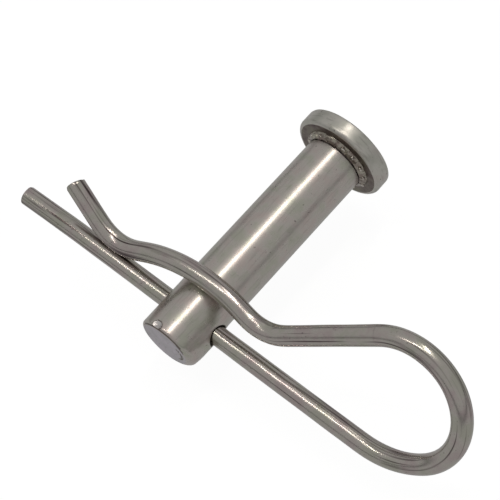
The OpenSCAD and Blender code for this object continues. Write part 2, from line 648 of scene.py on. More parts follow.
# Fused weld metal, brushed but not ground: a lumpy, olive brown, heat tinted ring.
FUSED_WELD = Metal(
    name="heat_tinted_weld",
    body_colour="#a39b90",
    warm_colour="#84756e",
    cool_colour="#b3af9f",
    dark_colour="#3a2f2c",
    roughness=0.26,
    roughness_spread=0.08,
    patch_mm=1.3,
    line_depth_mm=0.02,
    line_show=0.7,
    lump_mm=0.9,
    lump_depth_mm=0.03,
    speck_mm=0.45,
    speck_share=0.03,
)

# Bright beads standing on the weld: their brighter colour is a painted highlight.
BEAD_PAINTED_HIGHLIGHT = replace(
    FUSED_WELD,
    name="weld_beads_painted_highlight",
    body_colour="#c6bfb5",
    warm_colour="#b3a7a0",
    cool_colour="#cfcabf",
    roughness=0.27,
)

# Painted shade where the bead meets the shank.
WELD_SHANK_EDGE_PAINTED_SHADE = replace(
    FUSED_WELD,
    name="weld_shank_edge_painted_shade",
    body_colour="#544b47",
    warm_colour="#4c413f",
    cool_colour="#5c554c",
)

# Bright drawn spring wire: glossy, with dark purplish lines along it that are painted reflections of the dark
# parts beside it.
WIRE_WITH_PAINTED_REFLECTIONS = Metal(
    name="spring_wire_painted_reflections",
    body_colour="#bbb5ae",
    warm_colour="#b6aaa7",
    cool_colour="#b3b1a5",
    dark_colour="#483b3c",
    roughness=0.22,
    roughness_spread=0.025,
    attribute="wire_space",
    line_stretch=(0.03, 1.0, 1.0),
    line_mm=0.55,
    line_depth_mm=0.0,
    line_show=0.95,
    lump_mm=2.2,
    lump_depth_mm=0.0015,
    speck_mm=0.4,
)


@dataclass(frozen=True)
class Shank:
    """The round rod, with its bevelled weld end, its cross hole and its unevenly broken nose."""

    space: PinSpace
    radius: float = 5.0
    length: float = 41.25
    parallel_end: float = 28.8
    nose_radius: float = 4.96
    nose_edge: float = 0.55
    edge_turn: float = 62.0
    edge_steps: int = 5
    face_radius: float = 4.4
    weld_sink: float = 0.2
    weld_depth: float = 0.6
    weld_leg: float = 1.0
    hole_radius: float = 1.8
    hole_flare: float = 0.05
    flare_end: float = 4.4
    drill_reach: float = 7.0
    drill_sides: int = 64
    drill_step: float = 3.0
    lip_height: float = 0.2
    lip_width: float = 0.9
    lip_from: float = 4.8
    swell_height: float = 0.42
    swell_from: float = 3.6
    swell_x: float = 38.4
    swell_width: float = 2.6
    swell_side: tuple[float, float] = (0.94, -0.34)
    crease_at: float = 0.67
    sides: int = 220
    ring_step: float = 0.2
    edge_skew: float = 0.9
    skew_reach: float = 3.0
    wide_side: tuple[float, float] = (0.92, -0.39)
    chip_centre: tuple[float, float, float] = (41.0, -1.61, 6.0)
    chip_radius: float = 1.6
    # Widths of the painted shade round the chip and along the nose's upper edge.
    chip_shade_outline: float = 0.1
    painted_edge_shade: float = 0.2
    painted_edge_shade_between: tuple[float, float] = (0.35, 0.75)
    chord: float = 0.01
    mark_centre: tuple[float, float] = (1.2, 0.1)
    mark_radius: float = 2.15
    mark_width: float = 0.2
    mark_half_turn: float = 55.0
    mark_depth: float = 0.07

    def _profile(self) -> list[tuple[float, float]]:
        """Returns the rod's turned outline from the head to the nose."""
        return [
            (-self.weld_sink, 0.0),
            (-self.weld_sink, self.radius - self.weld_depth),
            (0.0, self.radius - self.weld_depth),
            (self.weld_leg, self.radius),
            (self.parallel_end, self.radius),
            *self._broken_edge(),
            (self.length, 0.0),
        ]

    def _broken_edge(self) -> list[tuple[float, float]]:
        """Returns the rounded edge between the rod's side and its nose face."""
        drop = self.nose_radius - self.face_radius
        last = math.radians(self.edge_turn)
        points = []
        for i in range(self.edge_steps + 1):
            t = last * i / self.edge_steps
            out = (1 - math.cos(t)) / (1 - math.cos(last))
            back = self.nose_edge * (1 - math.sin(t) / math.sin(last))
            points.append((self.length - back, self.nose_radius - drop * out))
        return points

    def _break_edge_unevenly(self, mesh: bpy.types.Mesh) -> None:
        """Skews the broken edge round the nose, so that it is wide on one side and thin on the other.

        Args:
            mesh: The rod, in pin space.
        """
        points = vertex_array(mesh)
        radial = points[:, 1:]
        distance = np.maximum(np.linalg.norm(radial, axis=1), 1e-6)
        grow = 1 + self.edge_skew * np.maximum(radial @ unit(self.wide_side) / distance, 0) ** 2
        start, zone = self.length - self.nose_edge, self.length - self.skew_reach
        x = points[:, 0].copy()
        moved_start = self.length - self.nose_edge * grow
        before = (x > zone) & (x <= start + 1e-5)
        inside = x > start + 1e-5
        points[before, 0] = (zone + (x - zone) * (moved_start - zone) / (start - zone))[before]
        points[inside, 0] = (self.length - (self.length - x) * grow)[inside]
        drop = self.nose_radius - distance
        edge = inside & (x < self.length - 1e-5)
        face = x >= self.length - 1e-5
        new_face = self.nose_radius - (self.nose_radius - self.face_radius) * grow
        radius = np.where(edge, self.nose_radius - drop * grow, distance)
        radius = np.where(face, distance * new_face / self.face_radius, radius)
        points[:, 1:] = radial * (radius / distance)[:, None]
        set_vertices(mesh, points)

    def _press_mark(self, mesh: bpy.types.Mesh) -> None:
        """Presses the small crescent into the nose face.

        Args:
            mesh: The rod, in pin space.
        """
        points = vertex_array(mesh)
        points[self._in_mark(points), 0] -= self.mark_depth
        set_vertices(mesh, points)

    def _in_mark(self, points: np.ndarray) -> np.ndarray:
        """Returns which points of the nose face lie in the pressed crescent."""
        off = points[:, 1:] - np.array(self.mark_centre)
        away = np.linalg.norm(off, axis=1)
        turned = np.abs(np.arctan2(off[:, 1], off[:, 0])) / math.radians(self.mark_half_turn)
        width = self.mark_width * np.sqrt(np.maximum(1 - turned**2, 0))
        return (np.abs(away - self.mark_radius) < width) & (points[:, 0] > self.length - 2 * self.mark_depth)

    def _swell_nose(self, mesh: bpy.types.Mesh) -> None:
        """Swells the nose on the side where cropping pushed its metal out.

        Args:
            mesh: The rod, in pin space.
        """
        points = vertex_array(mesh)
        distance = np.maximum(np.linalg.norm(points[:, 1:], axis=1), 1e-6)
        facing = points[:, 1:] @ unit(self.swell_side) / distance
        facing = np.maximum(facing - self.crease_at, 0) / (1 - self.crease_at)
        along = np.exp(-(((points[:, 0] - self.swell_x) / self.swell_width) ** 2))
        lift = self.swell_height * facing * along * (distance > self.swell_from)
        points[:, 1:] *= (1 + lift / distance)[:, None]
        set_vertices(mesh, points)

    def _raise_lip(self, mesh: bpy.types.Mesh) -> None:
        """Raises the metal that the drill pushed up round the hole's mouth on the loop's side.

        Args:
            mesh: The rod, in pin space.
        """
        points = vertex_array(mesh)
        away = np.hypot(points[:, 0] - self.space.hole_x, points[:, 2])
        distance = np.maximum(np.linalg.norm(points[:, 1:], axis=1), 1e-6)
        lift = self.lip_height * np.exp(-(np.maximum(away - self.hole_radius, 0) / self.lip_width) ** 2)
        lift = lift * (points[:, 1] > 0) * (distance > self.lip_from)
        points[:, 1:] *= (1 + lift / distance)[:, None]
        set_vertices(mesh, points)

    def _inside_chip(self, points: np.ndarray) -> np.ndarray:
        """Returns how far each point lies inside the ball that shapes the chip."""
        return self.chip_radius - np.linalg.norm(points - np.array(self.chip_centre), axis=1)

    def _chip_edge(self, mesh: bpy.types.Mesh) -> None:
        """Chips one small hollow out of the nose's edge.

        Args:
            mesh: The rod, in pin space.
        """
        points = vertex_array(mesh)
        inside = np.maximum(self._inside_chip(points), 0)
        away = points - np.array(self.chip_centre)
        away /= np.linalg.norm(away, axis=1)[:, None]
        set_vertices(mesh, points + away * inside[:, None])

    def _drill(self, rod: bpy.types.Object) -> None:
        """Drills the cross hole with slightly flared mouths.

        Args:
            rod: The rod, in pin space and millimetres.
        """
        reach = self.drill_reach
        r, flare = self.hole_radius, self.hole_radius + self.hole_flare
        outline = [(-reach, 0.0), (-reach, flare + 0.5), (-self.radius, flare), (-self.flare_end, r)]
        outline += [(-x, s) for x, s in reversed(outline)]
        drill_mesh = lathe("drill", outline, self.drill_sides, self.drill_step)
        points = vertex_array(drill_mesh)
        set_vertices(drill_mesh, np.column_stack([points[:, 2] + self.space.hole_x, points[:, 0], points[:, 1]]))
        drill = as_object("drill", drill_mesh)
        cut = rod.modifiers.new("cross_hole", "BOOLEAN")
        cut.operation = "DIFFERENCE"
        cut.solver = "EXACT"
        cut.object = drill
        bpy.context.view_layer.update()
        drilled = rod.evaluated_get(bpy.context.evaluated_depsgraph_get())
        mesh = bpy.data.meshes.new_from_object(drilled)
        rod.modifiers.clear()
        rod.data = mesh
        bpy.data.objects.remove(drill)

    def _finish_of(self, middle: np.ndarray) -> int:
        """Chooses the finish of one face of the rod.

        Args:
            middle: The face's middle, in pin space.

        Returns:
            0 for the tumbled skin, 1 for the nose face, 2 for painted shade in a crease and along the nose's upper
            edge, 3 for the chip's painted highlight.
        """
        if middle[0] < self.length - self.skew_reach:
            return 0
        inside = float(self._inside_chip(middle[None])[0])
        # Faces in the chip get the painted highlight.
        if inside > -self.chord:
            return 3
        # The thin ring round the chip and the pressed crescent get painted shade.
        if inside > -self.chip_shade_outline or bool(self._in_mark(middle[None])[0]):
            return 2
        if middle[0] > self.length - self.chord:
            return 1
        # A thin band of painted shade along the nose's upper edge, widest where the rod faces up.
        facing_up = middle[2] / math.hypot(middle[1], middle[2])
        start, full = self.painted_edge_shade_between
        line = self.painted_edge_shade * min(max(facing_up - start, 0.0) / (full - start), 1.0)
        return 2 if self.length - 2 * self.chord > middle[0] > self.length - line else 0

    def build(self) -> bpy.types.Object:
        """Builds and dresses the rod.

        Returns:
            The rod, riding on the pin.
        """
        mesh = lathe("pin_shank_skin", self._profile(), self.sides, self.ring_step)
        self._break_edge_unevenly(mesh)
        self._chip_edge(mesh)
        self._raise_lip(mesh)
        self._swell_nose(mesh)
        self._press_mark(mesh)
        rod = as_object("shank_rod", mesh)
        self._drill(rod)
        mesh = rod.data
        paint(mesh, (SATIN_SHANK, CROPPED_NOSE, NOSE_PAINTED_SHADE, CHIP_PAINTED_HIGHLIGHT), self._finish_of)
        self.space.place_pin_mesh(mesh)
        shade(mesh, 22)
        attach(rod, Body.PIN.value)
        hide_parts(CadNode.SHANK.value)
        return rod


@dataclass(frozen=True)
class Head:
    """The disc head, rounded round both edges of its rim."""

    space: PinSpace
    radius: float = 8.15
    thickness: float = 2.9
    under_round: float = 0.7
    top_round: float = 0.3
    # How far the heat tint and painted shade reach on the underside.
    tint_and_shade_radius: float = 7.5
    tint_and_shade_edge: float = 0.75
    dent_size: float = 3.2
    dent_depth: float = 0.05
    dents_from: float = 7.0
    root_radius: float = 4.6
    pocket: float = 0.2
    sides: int = 160

    def _round(self, x: float, r: float, size: float, start: float) -> list[tuple[float, float]]:
        """Returns the points of a quarter round of the outline.

        Args:
            x: Its centre along the axis.
            r: Its centre's radius.
            size: Its own radius.
            start: The angle at which it starts, in degrees.

        Returns:
            Points along the quarter.
        """
        turns = [math.radians(start - 90 * i / 6) for i in range(7)]
        return [(x + size * math.cos(t), r + size * math.sin(t)) for t in turns]

    def _finish_of(self, middle: np.ndarray) -> int:
        """Returns 1 for a face of the underside inside the heat tint and painted shade, or else 0."""
        below = middle[0] > -self.under_round * self.tint_and_shade_edge
        return int(below and np.hypot(middle[1], middle[2]) < self.tint_and_shade_radius)

    def build(self) -> bpy.types.Object:
        """Builds and dresses the head.

        Returns:
            The head, riding on the pin.
        """
        top, under = self.top_round, self.under_round
        outline = [(-self.thickness, 0.0)]
        outline += self._round(-self.thickness + top, self.radius - top, top, 180)
        outline += self._round(-under, self.radius - under, under, 90)
        outline += [(0.0, self.root_radius), (-self.pocket, self.root_radius), (-self.pocket, 0.0)]
        mesh = lathe("pin_head_skin", outline, self.sides, 0.5)
        points = vertex_array(mesh)
        distance = np.maximum(np.linalg.norm(points[:, 1:], axis=1), 1e-6)
        uneven = np.array([ripple(p, self.dent_size, self.dent_depth) for p in points])
        uneven = uneven * (distance > self.dents_from)
        points[:, 1:] -= points[:, 1:] / distance[:, None] * np.abs(uneven)[:, None]
        set_vertices(mesh, points)
        paint(mesh, (TURNED_HEAD, HEAT_TINT_AND_SHADE_DISC), self._finish_of)
        self.space.place_pin_mesh(mesh)
        shade(mesh, 35)
        disc = as_object("disc_head", mesh)
        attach(disc, Body.PIN.value)
        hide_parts(CadNode.HEAD.value)
        return disc


@dataclass(frozen=True)
class DropletTree:
    """Geometry Nodes that set molten droplets round a ring."""

    name: str = "weld_droplets"
    smallest: float = 0.55
    largest: float = 1.25

    def build(self) -> bpy.types.NodeTree:
        """Builds the tree.

        Returns:
            The tree, with its sizes as named inputs.
        """
        sizes = dict.fromkeys(("Ring Radius", "Droplet Radius", "Jitter"), "Float")
        tree = new_tree(self.name, {"Count": "Int", **sizes, "Seed": "Int"})
        given = add_node(tree, "NodeGroupInput").outputs
        ring = add_node(
            tree,
            "GeometryNodeMeshCircle",
            {"fill_type": "NONE"},
            {"Vertices": given["Count"], "Radius": given["Ring Radius"]},
        )
        low = add_node(tree, "ShaderNodeMath", {"operation": "MULTIPLY"}, {0: given["Jitter"], 1: -1.0}).outputs[0]
        low_corner = add_node(tree, "ShaderNodeCombineXYZ", inputs=dict.fromkeys("XYZ", low))
        high_corner = add_node(tree, "ShaderNodeCombineXYZ", inputs=dict.fromkeys("XYZ", given["Jitter"]))
        shift = add_node(
            tree,
            "FunctionNodeRandomValue",
            {"data_type": "FLOAT_VECTOR"},
            {0: low_corner.outputs[0], 1: high_corner.outputs[0], "Seed": given["Seed"]},
        )
        moved = add_node(
            tree,
            "GeometryNodeSetPosition",
            inputs={"Geometry": ring.outputs["Mesh"], "Offset": shift.outputs[0]},
        )
        drop = add_node(
            tree,
            "GeometryNodeMeshIcoSphere",
            inputs={"Radius": given["Droplet Radius"], "Subdivisions": 3},
        )
        size = add_node(
            tree,
            "FunctionNodeRandomValue",
            {"data_type": "FLOAT_VECTOR"},
            {0: (self.smallest,) * 3, 1: (self.largest,) * 3, "Seed": given["Seed"]},
        )
        placed = add_node(
            tree,
            "GeometryNodeInstanceOnPoints",
            inputs={
                "Points": moved.outputs["Geometry"],
                "Instance": drop.outputs["Mesh"],
                "Scale": size.outputs[0],
            },
        )
        end_tree(tree, placed.outputs["Instances"], given["Material"])
        return tree


def new_tree(name: str, inputs: Mapping[str, str]) -> bpy.types.NodeTree:
    """Starts a Geometry Nodes tree.

    Args:
        name: The tree's name.
        inputs: For each named input beside the geometry and the material, the kind of its socket.

    Returns:
        The tree, with nothing in it yet.
    """
    tree = bpy.data.node_groups.new(name, "GeometryNodeTree")
    tree.interface.new_socket("Geometry", in_out="INPUT", socket_type="NodeSocketGeometry")
    for label, kind in {**inputs, "Material": "Material"}.items():
        tree.interface.new_socket(label, in_out="INPUT", socket_type="NodeSocket" + kind)
    tree.interface.new_socket("Geometry", in_out="OUTPUT", socket_type="NodeSocketGeometry")
    return tree


def end_tree(tree: bpy.types.NodeTree, made: bpy.types.NodeSocket, material: bpy.types.NodeSocket) -> None:
    """Ends a Geometry Nodes tree with realised instances and a material.

    Args:
        tree: The tree.
        made: What the tree has made.
        material: What it is made of.
    """
    real = add_node(tree, "GeometryNodeRealizeInstances", inputs={"Geometry": made})
    inputs = {"Geometry": real.outputs["Geometry"], "Material": material}
    painted = add_node(tree, "GeometryNodeSetMaterial", inputs=inputs)
    add_node(tree, "NodeGroupOutput", inputs={"Geometry": painted.outputs["Geometry"]})


def run_tree(
    name: str,
    start: bpy.types.Mesh,
    tree: bpy.types.NodeTree,
    values: Mapping[str, Any],
) -> bpy.types.Mesh:
    """Runs a Geometry Nodes tree once and returns what it makes as a plain mesh.

    Args:
        name: The name for the mesh.
        start: The mesh that goes into the tree.
        tree: The tree.
        values: A value for each of its named inputs.

    Returns:
        The finished mesh.
    """
    carrier = as_object(name + "_carrier", start)
    modifier = carrier.modifiers.new(tree.name, "NODES")
    modifier.node_group = tree
    for item in tree.interface.items_tree:
        if item.item_type == "SOCKET" and item.in_out == "INPUT" and item.name in values:
            modifier[item.identifier] = values[item.name]
    bpy.context.view_layer.update()
    evaluated = carrier.evaluated_get(bpy.context.evaluated_depsgraph_get())
    mesh = bpy.data.meshes.new_from_object(evaluated)
    mesh.name = name
    bpy.data.objects.remove(carrier)
    return mesh


@dataclass(frozen=True)
class WeldBead:
    """The fillet weld that joins the shank to the head: a lumpy ring and the droplets on it."""

    space: PinSpace
    shank_radius: float = 5.0
    toe_radius: float = 5.95
    leg: float = 0.85
    sink: float = 0.2
    root_radius: float = 4.6
    crown: float = 0.14
    lump_size: float = 0.9
    lump_depth: float = 0.28
    wave_size: float = 2.7
    wave_depth: float = 0.2
    deepest: float = 0.12
    toe_size: float = 0.55
    toe_depth: float = 0.3
    sides: int = 220
    crown_steps: int = 14
    droplet_count: int = 15
    droplet_radius: float = 0.38
    droplet_ring: float = 5.45
    droplet_x: float = 0.5
    droplet_jitter: float = 0.22
    droplet_flatness: float = 0.8
    droplet_seed: int = 11
    # How far from the shank the painted shade on the bead reaches.
    shank_edge_shade_reach: float = 0.13

    def _section(self) -> list[tuple[float, float]]:
        """Returns the bead's section from its toe on the head, over the crown, to the shank and back inside."""
        toe, top = np.array([0.0, self.toe_radius]), np.array([self.leg, self.shank_radius])
        out = unit([self.toe_radius - self.shank_radius, self.leg])
        points = []
        for i in range(self.crown_steps + 1):
            share = i / self.crown_steps
            p = toe + (top - toe) * share + out * self.crown * 4 * share * (1 - share)
            points.append((float(p[0]), float(p[1])))
        inner = [(0.0, self.root_radius), (-self.sink, self.root_radius), (-self.sink, self.toe_radius)]
        return points + inner

    def _ring(self) -> bpy.types.Mesh:
        """Sweeps the section round the pin and roughens its crown.

        Returns:
            A closed ring, in pin space.
        """
        section = self._section()
        count = len(section)
        points: list[tuple[float, float, float]] = []
        for j in range(self.sides):
            t = 2 * math.pi * j / self.sides
            for i, (x, r) in enumerate(section):
                share = i / self.crown_steps
                if 0 < i < self.crown_steps:
                    here = (x * 1.3, r * math.cos(t), r * math.sin(t))
                    swell = math.sin(math.pi * share) ** 0.7
                    lumps = ripple(here, self.lump_size, self.lump_depth)
                    lift = max(swell * (lumps + ripple(here, self.wave_size, self.wave_depth)), -self.deepest)
                    x, r = x + 0.6 * lift, r + 0.8 * lift
                elif i == self.crown_steps:
                    x += ripple((0.0, 3 * math.cos(t), 3 * math.sin(t)), self.toe_size, self.toe_depth)
                points.append((x, r * math.cos(t), r * math.sin(t)))
        faces = []
        for j in range(self.sides):
            a, b = j * count, ((j + 1) % self.sides) * count
            faces += [(a + i, a + (i + 1) % count, b + (i + 1) % count, b + i) for i in range(count)]
        mesh = bpy.data.meshes.new("weld_bead_skin")
        mesh.from_pydata(points, [], faces)
        outward(mesh)
        return mesh

    def _droplets(self, material: bpy.types.Material) -> bpy.types.Mesh:
        """Sets the droplets round the bead.

        Args:
            material: What they are made of.

        Returns:
            The droplets, in pin space.
        """
        start = bpy.data.meshes.new("weld_droplet_start")
        start.from_pydata([(0.0, 0.0, 0.0)], [], [])
        mesh = run_tree(
            "weld_droplet_skin",
            start,
            DropletTree().build(),
            {
                "Count": self.droplet_count,
                "Ring Radius": self.droplet_ring,
                "Droplet Radius": self.droplet_radius,
                "Jitter": self.droplet_jitter,
                "Seed": self.droplet_seed,
                "Material": material,
            },
        )
        points = vertex_array(mesh)
        x = points[:, 2] * self.droplet_flatness + self.droplet_x
        set_vertices(mesh, np.column_stack([x, points[:, 0], points[:, 1]]))
        return mesh

    def build(self) -> list[bpy.types.Object]:
        """Builds and dresses the bead and its droplets.

        Returns:
            The two pieces, riding on the pin.
        """
        ring = self._ring()
        # Faces of the bead near the shank get painted shade where the two meet.
        reach = self.shank_radius + self.shank_edge_shade_reach
        paint(ring, (FUSED_WELD, WELD_SHANK_EDGE_PAINTED_SHADE), lambda middle: int(math.hypot(middle[1], middle[2]) < reach))
        made = []
        # The droplets carry the beads' painted highlight.
        for name, mesh in (("weld_ring", ring), ("weld_droplets", self._droplets(BEAD_PAINTED_HIGHLIGHT.build()))):
            outward(mesh)
            self.space.place_pin_mesh(mesh)
            shade(mesh, 60)
            piece = as_object(name, mesh)
            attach(piece, Body.PIN.value)
            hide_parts(CadNode.WELD.value)
            made.append(piece)
        return made


@dataclass(frozen=True)
class Stretch:
    """One stretch of the wire: straight when turn is 0, or else a bend of that radius and turn in degrees."""

    size: float
    turn: float = 0.0

    def length(self) -> float:
        """Returns the stretch's length along the wire."""
        return self.size * math.radians(abs(self.turn)) if self.turn else self.size

    def curvature(self) -> float:
        """Returns how fast the wire turns along the stretch, in radians per millimetre."""
        return math.copysign(1 / self.size, self.turn) if self.turn else 0.0


@dataclass(frozen=True)
class ToolMark:
    """A dent that a bending tool has left: where it is, how long, wide and deep."""

    along: float
    around: float
    length: float
    width: float
    depth: float


class WirePath:
    """The wire's centreline in the clip's plane, with each bend eased into the next as real wire bends."""

    STEP = 0.05

    def __init__(self, tip: Sequence[Stretch], stretches: Sequence[Stretch], easing: float) -> None:
        """Lays the centreline out.

        Args:
            tip: The stretches from the straight leg's tip to the hole's centre.
            stretches: The stretches from the hole's centre to the flared tip.
            easing: How far each change of curvature is spread along the wire.
        """
        self.start = -sum(stretch.length() for stretch in tip)
        self.end = sum(stretch.length() for stretch in stretches)
        self.s = np.arange(self.start, self.end + self.STEP / 2, self.STEP)
        bends = np.zeros_like(self.s)
        at = self.start
        for stretch in (*tip, *stretches):
            inside = (self.s >= at) & (self.s < at + stretch.length())
            bends[inside] = stretch.curvature()
            at += stretch.length()
        reach = int(4 * easing / self.STEP)
        offsets = np.arange(-reach, reach + 1) * self.STEP
        kernel = np.exp(-0.5 * (offsets / easing) ** 2)
        bends = np.convolve(bends, kernel / kernel.sum(), mode="same")
        heading = np.concatenate([[0.0], np.cumsum((bends[1:] + bends[:-1]) / 2 * self.STEP)])
        self.heading = heading - np.interp(0.0, self.s, heading)
        middle = (self.heading[1:] + self.heading[:-1]) / 2
        y = np.concatenate([[0.0], np.cumsum(np.cos(middle) * self.STEP)])
        h = np.concatenate([[0.0], np.cumsum(np.sin(middle) * self.STEP)])
        self.y = y - np.interp(0.0, self.s, y)
        self.h = h - np.interp(0.0, self.s, h)

    def at(self, s: np.ndarray | float) -> tuple[np.ndarray, np.ndarray, np.ndarray]:
        """Returns the distance along the leg, the height above it and the heading at s."""
        return np.interp(s, self.s, self.y), np.interp(s, self.s, self.h), np.interp(s, self.s, self.heading)


@dataclass(frozen=True)
class SweepTree:
    """Geometry Nodes that sweep a round section along a centreline."""

    name: str = "wire_sweep"

    def build(self) -> bpy.types.NodeTree:
        """Builds the tree.

        Returns:
            The tree, with its sizes as named inputs.
        """
        tree = new_tree(self.name, {"Wire Radius": "Float", "Sides": "Int"})
        given = add_node(tree, "NodeGroupInput").outputs
        line = add_node(tree, "GeometryNodeMeshToCurve", inputs={"Mesh": given["Geometry"]})
        upright = add_node(
            tree,
            "GeometryNodeSetCurveNormal",
            {"mode": "Z_UP"},
            {"Curve": line.outputs["Curve"]},
        )
        section = add_node(
            tree,
            "GeometryNodeCurvePrimitiveCircle",
            inputs={"Resolution": given["Sides"], "Radius": given["Wire Radius"]},
        )
        swept = add_node(
            tree,
            "GeometryNodeCurveToMesh",
            inputs={
                "Curve": upright.outputs["Curve"],
                "Profile Curve": section.outputs["Curve"],
                "Fill Caps": True,
            },
        )
        end_tree(tree, swept.outputs["Mesh"], given["Material"])
        return tree


@dataclass(frozen=True)
class SpringClip:
    """The clip: one round wire, parted where its bodies meet."""

    space: PinSpace
    wire_radius: float = 1.6
    tip: tuple[Stretch, ...] = (Stretch(9.7), Stretch(150.0, -1.5), Stretch(22.073))
    stretches: tuple[Stretch, ...] = (
        Stretch(33.031),
        Stretch(14.5, 42.7),
        Stretch(9.65, 107.2),
        Stretch(10.5, 67.8),
        Stretch(17.187),
        Stretch(8.0, -54.9),
        Stretch(26.6, 43.9),
        Stretch(1.812),
        Stretch(8.2, -56.1),
        Stretch(7.25),
    )
    easing: float = 0.7
    ring_step: float = 0.3
    sides: int = 56
    seam: float = 0.01
    cut_edge: float = 0.16
    cut_slant: float = 0.28
    cut_around: float = 100.0
    blend_low: float = 1.7
    blend_high: float = 17.2
    wobble_size: float = 2.6
    wobble_depth: float = 0.03
    wobble_stretch: float = 0.5
    marks: tuple[ToolMark, ...] = (
        ToolMark(94.2, 155.0, 1.2, 34.0, 0.24),
        ToolMark(96.2, 128.0, 0.9, 24.0, 0.1),
        ToolMark(124.6, 152.0, 1.3, 34.0, 0.22),
        ToolMark(126.6, 128.0, 0.9, 24.0, 0.1),
    )

    def _sweep(
        self,
        name: str,
        path: WirePath,
        start: float,
        end: float,
        material: bpy.types.Material,
        tree: bpy.types.NodeTree,
    ) -> bpy.types.Mesh:
        """Sweeps one length of the wire.

        Args:
            name: The mesh's name.
            path: The wire's centreline.
            start: Where the length starts along the wire.
            end: Where it ends.
            material: What it is made of.
            tree: The sweep's tree.

        Returns:
            The length, in the clip's plane, with where each point is along and round the wire.
        """
        rings = max(2, math.ceil((end - start) / self.ring_step))
        s = np.linspace(start, end, rings + 1)
        if start == path.start:
            s = np.insert(s, 1, start + self.cut_edge)
        if end == path.end:
            s = np.insert(s, len(s) - 1, end - self.cut_edge)
        y, h, _ = path.at(s)
        line = bpy.data.meshes.new(name + "_line")
        line.from_pydata(list(zip(y, h, [0.0] * len(y))), [(i, i + 1) for i in range(len(y) - 1)], [])
        kept = line.attributes.new("along", "FLOAT", "POINT")
        kept.data.foreach_set("value", s.astype(np.float32))
        mesh = run_tree(
            name,
            line,
            tree,
            {"Wire Radius": self.wire_radius, "Sides": self.sides, "Material": material},
        )
        self._work_surface(mesh, path)
        return mesh

    def _work_surface(self, mesh: bpy.types.Mesh, path: WirePath) -> None:
        """Gives a swept length its tool marks, its slight unevenness and its cut ends.

        Args:
            mesh: The length, in the clip's plane.
            path: The wire's centreline.
        """
        points = vertex_array(mesh)
        s = np.empty(len(points), np.float32)
        mesh.attributes["along"].data.foreach_get("value", s)
        s = s.astype(float)
        y, h, heading = path.at(s)
        centre = np.column_stack([y, h, np.zeros_like(y)])
        inward = np.column_stack([-np.sin(heading), np.cos(heading), np.zeros_like(y)])
        side = np.tile([0.0, 0.0, 1.0], (len(points), 1))
        offset = points - centre
        turn = np.arctan2((offset * side).sum(1), (offset * inward).sum(1))
        radius = np.linalg.norm(offset, axis=1)
        skin = radius > 0.5 * self.wire_radius
        lift = np.zeros(len(points))
        for i in np.nonzero(skin)[0]:
            round_wire = (self.wire_radius * math.cos(turn[i]), self.wire_radius * math.sin(turn[i]))
            where = (s[i] * self.wobble_stretch, *round_wire)
            lift[i] = ripple(where, self.wobble_size, self.wobble_depth) - self.wobble_depth / 2
        for mark in self.marks:
            away = (turn - math.radians(mark.around) + math.pi) % (2 * math.pi) - math.pi
            share = ((s - mark.along) / mark.length) ** 2 + (away / math.radians(mark.width)) ** 2
            lift -= mark.depth * np.exp(-share)
        at_cut = (np.abs(s - path.start) < 1e-3) | (np.abs(s - path.end) < 1e-3)
        lift[at_cut] -= self.cut_edge
        scale = np.where(skin, (radius + lift) / np.maximum(radius, 1e-6), 1.0)
        set_vertices(mesh, centre + offset * scale[:, None])
        ahead = np.column_stack([np.cos(heading), np.sin(heading), np.zeros_like(y)])
        slant = np.cos(turn - math.radians(self.cut_around)) * self.cut_slant * at_cut
        set_vertices(mesh, vertex_array(mesh) + ahead * slant[:, None])
        own = np.column_stack([s, self.wire_radius * np.cos(turn), self.wire_radius * np.sin(turn)])
        kept = mesh.attributes.new("wire_space", "FLOAT_VECTOR", "POINT")
        kept.data.foreach_set("vector", own.astype(np.float32).ravel())
        mesh.attributes.remove(mesh.attributes["along"])

    def build(self) -> list[bpy.types.Object]:
        """Builds and dresses the three lengths of the wire.

        Returns:
            The straight leg's tip side, the loop and the grip leg.
        """
        path = WirePath(self.tip, self.stretches, self.easing)
        loop_end = sum(s.length() for s in self.stretches[:4])
        half = self.seam / 2
        material = WIRE_WITH_PAINTED_REFLECTIONS.build()
        tree = SweepTree().build()
        plan = (
            ("clip_wire_tip", path.start, -half, CadNode.STRAIGHT_LEG),
            ("clip_wire_loop", half, loop_end - half, CadNode.LOOP),
            ("clip_wire_grip", loop_end + half, path.end, CadNode.GRIP_LEG),
        )
        made = []
        for name, start, end, node in plan:
            mesh = self._sweep(name + "_skin", path, start, end, material, tree)
            self.space.place_clip_mesh(mesh)
            outward(mesh, weld=False)
            shade(mesh, 32)
            piece = as_object(name, mesh)
            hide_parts(node.value)
            made.append(piece)
        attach(made[0], Body.STRAIGHT_LEG.value)
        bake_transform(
            made[1],
            Body.LOOP.value,
            Body.GRIP_LEG.value,
            start=self.space.clip_point(0.0, self.blend_low),
            end=self.space.clip_point(0.0, self.blend_high),
        )
        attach(made[2], Body.GRIP_LEG.value)
        return made


@dataclass(frozen=True)
class Tube:
    """One long soft lamp: its two ends in pin space, its width and its power in watts."""

    name: str
    start: tuple[float, float, float]
    end: tuple[float, float, float]
    width: float
    power: float


